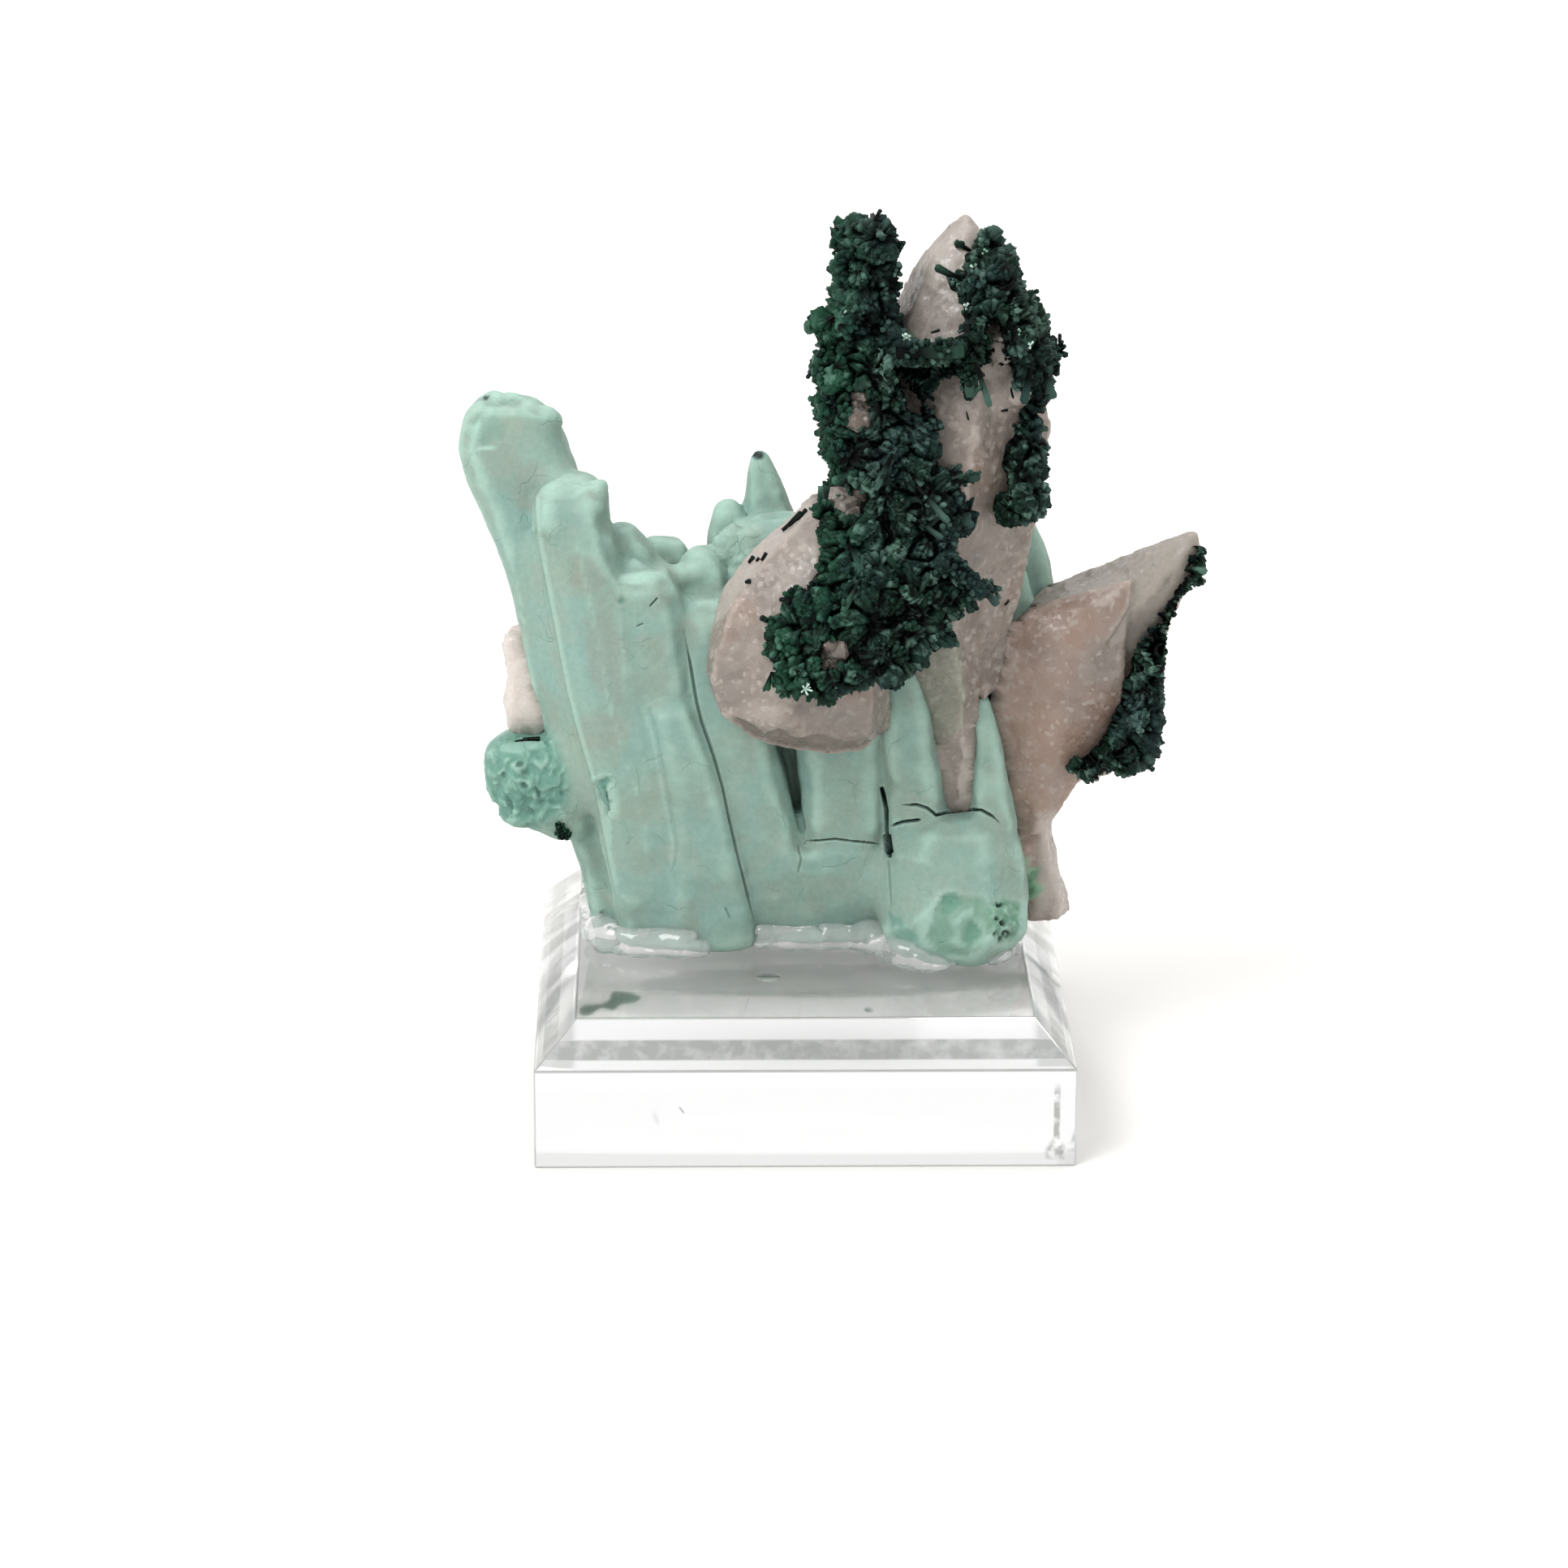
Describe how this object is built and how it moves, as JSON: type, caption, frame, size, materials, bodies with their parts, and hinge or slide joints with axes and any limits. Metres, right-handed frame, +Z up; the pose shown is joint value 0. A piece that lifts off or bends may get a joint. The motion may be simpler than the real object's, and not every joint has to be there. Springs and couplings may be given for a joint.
{
  "type": "chrysocolla specimen on a clear block",
  "caption": "Upright cluster of blue-green chrysocolla fingers with grey-pink quartz crystals and dark malachite crusts, fixed on a square bevelled clear block.",
  "frame": {"origin": "middle of the clear block's underside", "axes": "+Z up along the specimen, -Y towards the side that the picture shows, +X to the right of that side"},
  "size_m": [0.0535, 0.038, 0.0653],
  "materials": {
    "clear_acrylic": "clear cast acrylic, flame-polished faces and 45 degree bevels",
    "clear_glue": "clear glossy adhesive, set in a low rounded bead",
    "chrysocolla": "matt, slightly waxy pale blue-green with fine sugary grain",
    "quartz": "translucent grey-pink quartz with a sugary frosted skin",
    "malachite": "dark green velvety crust of small satin rods and knobs"
  },
  "bodies": {
    "root": {"acrylic_block": "clear_acrylic", "clear_adhesive": "clear_glue", "chrysocolla": "chrysocolla", "quartz_spindle": "quartz", "quartz_wedge": "quartz", "quartz_left": "quartz", "malachite_crust": "malachite", "malachite_flank": "malachite", "malachite_wedge": "malachite"}
  },
  "joints": []
}
